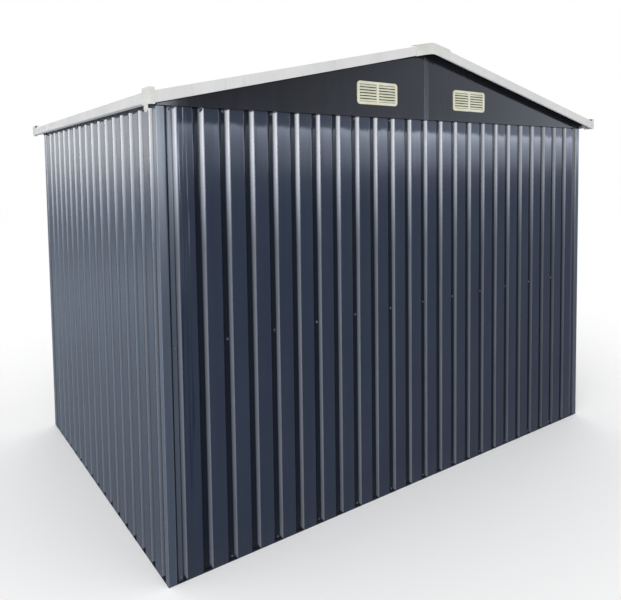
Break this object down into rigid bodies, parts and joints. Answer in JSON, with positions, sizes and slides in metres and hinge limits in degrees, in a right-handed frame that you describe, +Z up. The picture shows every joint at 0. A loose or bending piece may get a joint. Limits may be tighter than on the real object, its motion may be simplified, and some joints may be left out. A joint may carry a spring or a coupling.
{
  "type": "metal storage shed",
  "caption": "Gable-roofed garden storage shed of dark ribbed steel sheet with white roof trims, louvred gable vents and double sliding doors.",
  "frame": {"origin": "on the ground, under the middle of the shed", "axes": "+Z up; X across the gable ends, along the longer walls; +Y towards the closed gable end, -Y towards the doors"},
  "size_m": [2.592, 1.824, 1.9887],
  "materials": {
    "wall_sheet": "smooth glossy baked paint on ribbed steel sheet, anthracite blue",
    "gable_sheet": "smooth satin baked paint on flat steel sheet, anthracite",
    "roof_sheet": "satin baked paint on ribbed steel sheet, anthracite",
    "door_sheet": "smooth glossy baked paint on ribbed steel sheet, anthracite blue",
    "post_steel": "smooth glossy baked paint on folded steel, anthracite blue",
    "frame_steel": "galvanised folded steel rails, painted dark grey",
    "white_trim": "satin off-white baked paint on folded steel",
    "cap_plastic": "moulded cream-white plastic, slightly weathered",
    "vent_plastic": "moulded cream plastic louvre, slightly yellowed"
  },
  "bodies": {
    "root": {"rear_base_rail": "frame_steel", "front_door_sill": "frame_steel", "left_base_rail": "frame_steel", "right_base_rail": "frame_steel", "rear_right_corner_post": "post_steel", "rear_left_corner_post": "post_steel", "front_right_corner_post": "post_steel", "front_left_corner_post": "post_steel", "rear_wall_sheet_1": "wall_sheet", "rear_wall_sheet_2": "wall_sheet", "rear_wall_sheet_3": "wall_sheet", "rear_wall_sheet_4": "wall_sheet", "right_wall_sheet_1": "wall_sheet", "right_wall_sheet_2": "wall_sheet", "left_wall_sheet_1": "wall_sheet", "left_wall_sheet_2": "wall_sheet", "front_wall_sheet_right": "wall_sheet", "front_wall_sheet_left": "wall_sheet", "wall_braces": "frame_steel", "right_eave_rail": "frame_steel", "left_eave_rail": "frame_steel", "rear_top_rail": "frame_steel", "front_door_track": "frame_steel", "rear_gable_panel_right": "gable_sheet", "rear_gable_panel_left": "gable_sheet", "front_gable_panel_right": "gable_sheet", "front_gable_panel_left": "gable_sheet", "rear_vents": "vent_plastic", "front_vents": "vent_plastic", "ridge_beam": "frame_steel", "roof_purlins": "frame_steel", "right_roof_sheet": "roof_sheet", "left_roof_sheet": "roof_sheet", "ridge_cap": "roof_sheet", "rear_right_verge_trim": "white_trim", "rear_left_verge_trim": "white_trim", "front_right_verge_trim": "white_trim", "front_left_verge_trim": "white_trim", "right_eave_trim": "white_trim", "left_eave_trim": "white_trim", "corner_caps": "cap_plastic", "ridge_end_caps": "cap_plastic", "door_jambs": "post_steel", "right_door_leaf": "door_sheet", "left_door_leaf": "door_sheet"}
  },
  "joints": []
}
